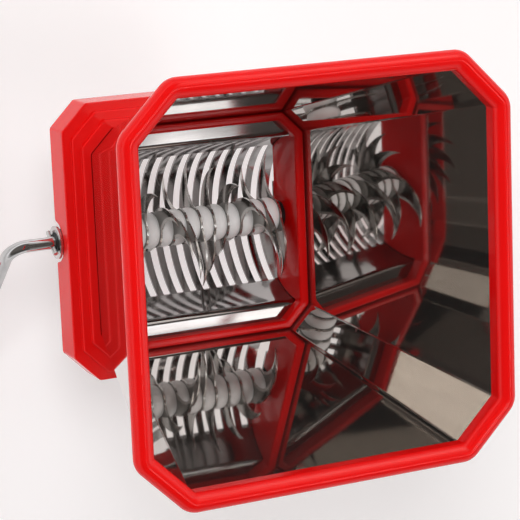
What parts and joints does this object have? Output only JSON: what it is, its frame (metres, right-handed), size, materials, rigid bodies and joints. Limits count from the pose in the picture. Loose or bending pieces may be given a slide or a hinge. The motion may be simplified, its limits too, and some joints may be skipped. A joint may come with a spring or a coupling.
{
  "type": "vegetable slicer",
  "caption": "Hand cranked vegetable slicer with a flared steel hopper in a moulded rim, a stepped base, and sickle blades that turn through a slotted comb.",
  "frame": {"origin": "centre of the base frame's underside, in the plane that seats on a basin", "axes": "+Z out through the hopper's mouth, +X along the knife shaft away from the crank, +Y across the shaft"},
  "size_m": [0.344, 0.2394, 0.278],
  "materials": {
    "red_plastic": "glossy moulded",
    "polished_sheet": "mirror polished stainless",
    "blade_steel": "polished stainless",
    "plated_steel": "plated",
    "chromed_rod": "polished",
    "white_nylon": "satin",
    "black_nylon": "satin"
  },
  "bodies": {
    "frame": {"base_frame": "red_plastic", "hopper_shell": "polished_sheet", "hopper_rim": "red_plastic", "comb_trough": "polished_sheet", "comb_screws": "plated_steel", "strap_screws": "plated_steel", "bearing_strap_far": "plated_steel", "bearing_strap_near": "plated_steel", "shaft_bush_far": "black_nylon", "shaft_bush_near": "black_nylon", "crank_washer": "plated_steel"},
    "rotor": {"drive_shaft": "plated_steel", "blade_01": "blade_steel", "blade_02": "blade_steel", "blade_03": "blade_steel", "blade_04": "blade_steel", "blade_05": "blade_steel", "blade_06": "blade_steel", "blade_07": "blade_steel", "blade_08": "blade_steel", "blade_09": "blade_steel", "blade_10": "blade_steel", "blade_11": "blade_steel", "blade_12": "blade_steel", "blade_13": "blade_steel", "blade_14": "blade_steel", "spacer_01": "white_nylon", "spacer_02": "white_nylon", "spacer_03": "white_nylon", "spacer_04": "white_nylon", "spacer_05": "white_nylon", "spacer_06": "white_nylon", "spacer_07": "white_nylon", "spacer_08": "white_nylon", "spacer_09": "white_nylon", "spacer_10": "white_nylon", "spacer_11": "white_nylon", "spacer_12": "white_nylon", "spacer_13": "white_nylon", "shaft_washer": "plated_steel", "shaft_nut": "plated_steel", "crank_rod": "chromed_rod", "crank_pin": "plated_steel", "grip_collar_inner": "plated_steel", "grip_collar_outer": "plated_steel"},
    "grip": {"crank_grip": "red_plastic"}
  },
  "joints": [
    {"name": "crank_turn", "type": "hinge", "parent": "frame", "child": "rotor", "pos_m": [0, 0, 0.0031], "axis": [1, 0, 0], "continuous": true},
    {"name": "grip_spin", "type": "hinge", "parent": "rotor", "child": "grip", "pos_m": [-0.1789, -0.07661, -0.06834], "axis": [1, 0, 0], "continuous": true}
  ]
}
